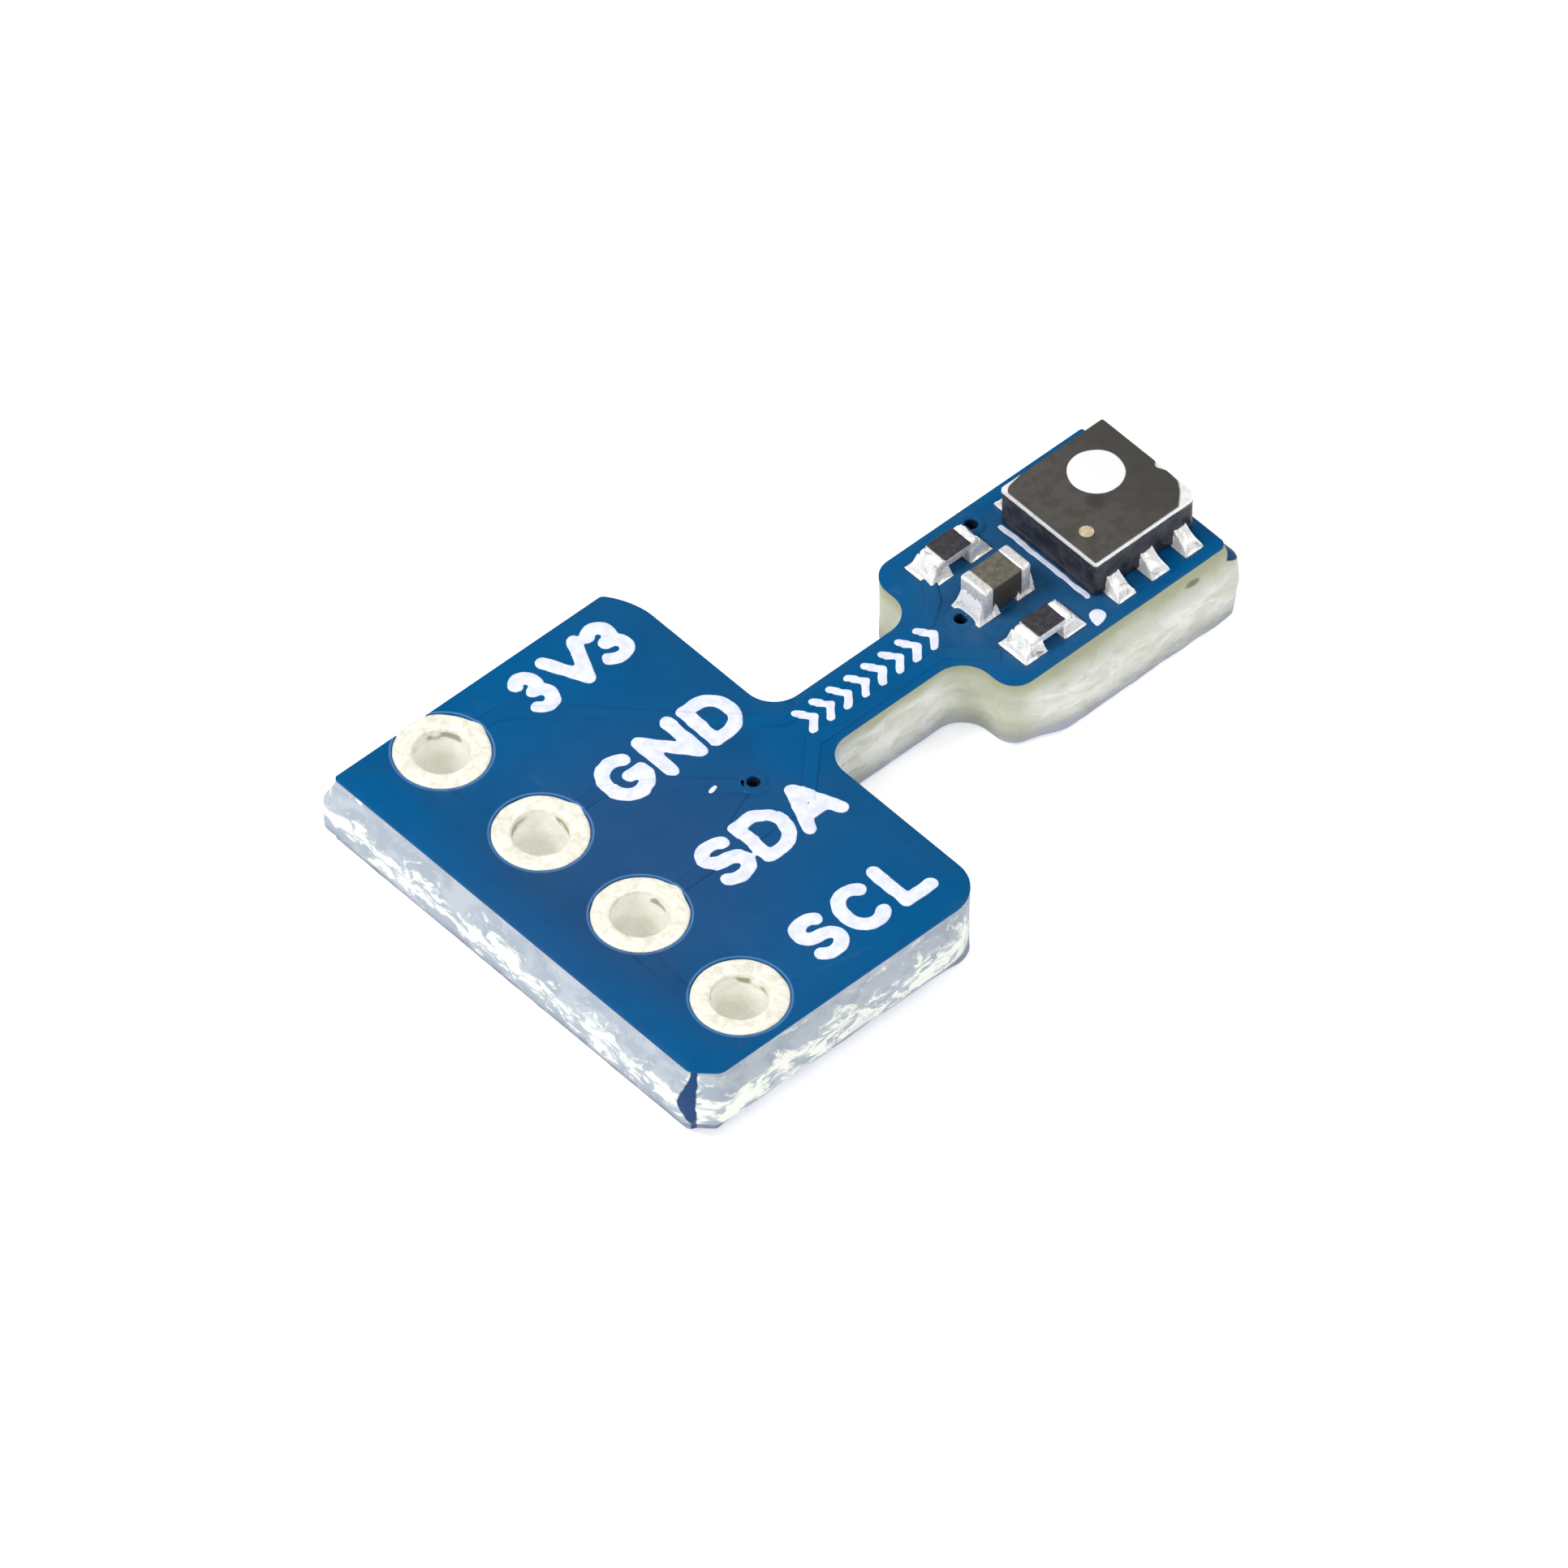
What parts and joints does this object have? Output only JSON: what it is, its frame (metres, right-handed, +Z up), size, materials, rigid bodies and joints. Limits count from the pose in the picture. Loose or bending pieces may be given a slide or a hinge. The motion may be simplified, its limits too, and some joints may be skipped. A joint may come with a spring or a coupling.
{
  "type": "gas sensor breakout board",
  "caption": "Small dumbbell-shaped circuit board with a row of plated header holes, a narrow neck and a membrane-topped air-quality sensor on its head.",
  "frame": {"origin": "middle of the four-hole header row, on the board's underside", "axes": "+X from the header row along the neck to the sensor; +Y along the row to the 3V3 hole; +Z up out of the component side"},
  "size_m": [0.015, 0.0098, 0.0025],
  "materials": {
    "glass_fibre": "sawn glass-fibre edge, matt",
    "solder_mask": "semi-gloss blue solder mask",
    "tin": "satin tin over copper",
    "copper": "bare copper under mask",
    "solder": "bright reflowed solder",
    "alumina": "matt white ceramic",
    "glass_coat": "black glass coat",
    "titanate": "satin grey-brown ceramic",
    "moulding": "matt black moulding compound",
    "silicon": "polished silicon",
    "lid_metal": "bright nickel",
    "lid_coat": "satin dark grey coat",
    "membrane": "matt white filter membrane",
    "ink": "white legend ink, matt",
    "gold": "gold flash"
  },
  "bodies": {
    "root": {"fr4_board": "glass_fibre", "solder_mask_top": "solder_mask", "solder_mask_bottom": "solder_mask", "header_hole_scl": "tin", "header_hole_sda": "tin", "header_hole_gnd": "tin", "header_hole_3v3": "tin", "via_gnd_header": "copper", "via_gnd_capacitor": "copper", "via_gnd_sensor": "copper", "via_scl_resistor": "copper", "copper_3v3": "copper", "copper_sda": "copper", "copper_scl": "copper", "copper_gnd_header": "copper", "copper_gnd_capacitor": "copper", "copper_gnd_sensor": "copper", "copper_gnd_under": "copper", "copper_scl_under": "copper", "resistor_scl_ceramic": "alumina", "resistor_scl_glass_coat": "glass_coat", "resistor_scl_cap_left": "tin", "resistor_scl_solder_left": "solder", "resistor_scl_cap_right": "tin", "resistor_scl_solder_right": "solder", "resistor_sda_ceramic": "alumina", "resistor_sda_glass_coat": "glass_coat", "resistor_sda_cap_left": "tin", "resistor_sda_solder_left": "solder", "resistor_sda_cap_right": "tin", "resistor_sda_solder_right": "solder", "capacitor_body": "titanate", "capacitor_cap_left": "tin", "capacitor_solder_left": "solder", "capacitor_cap_right": "tin", "capacitor_solder_right": "solder", "sensor_base": "moulding", "sensor_thermal_pad": "tin", "sensor_thermal_solder": "solder", "sensor_terminal_1": "tin", "sensor_solder_1": "solder", "sensor_terminal_2": "tin", "sensor_solder_2": "solder", "sensor_terminal_3": "tin", "sensor_solder_3": "solder", "sensor_terminal_4": "tin", "sensor_solder_4": "solder", "sensor_terminal_5": "tin", "sensor_solder_5": "solder", "sensor_terminal_6": "tin", "sensor_solder_6": "solder", "sensor_asic_die": "silicon", "sensor_hotplate_die": "silicon", "ink_sensor_line": "ink", "ink_pin1_mark": "ink", "sensor_lid": "lid_metal", "sensor_lid_coat": "lid_coat", "sensor_membrane": "membrane", "sensor_pin1_dot": "gold"}
  },
  "joints": []
}
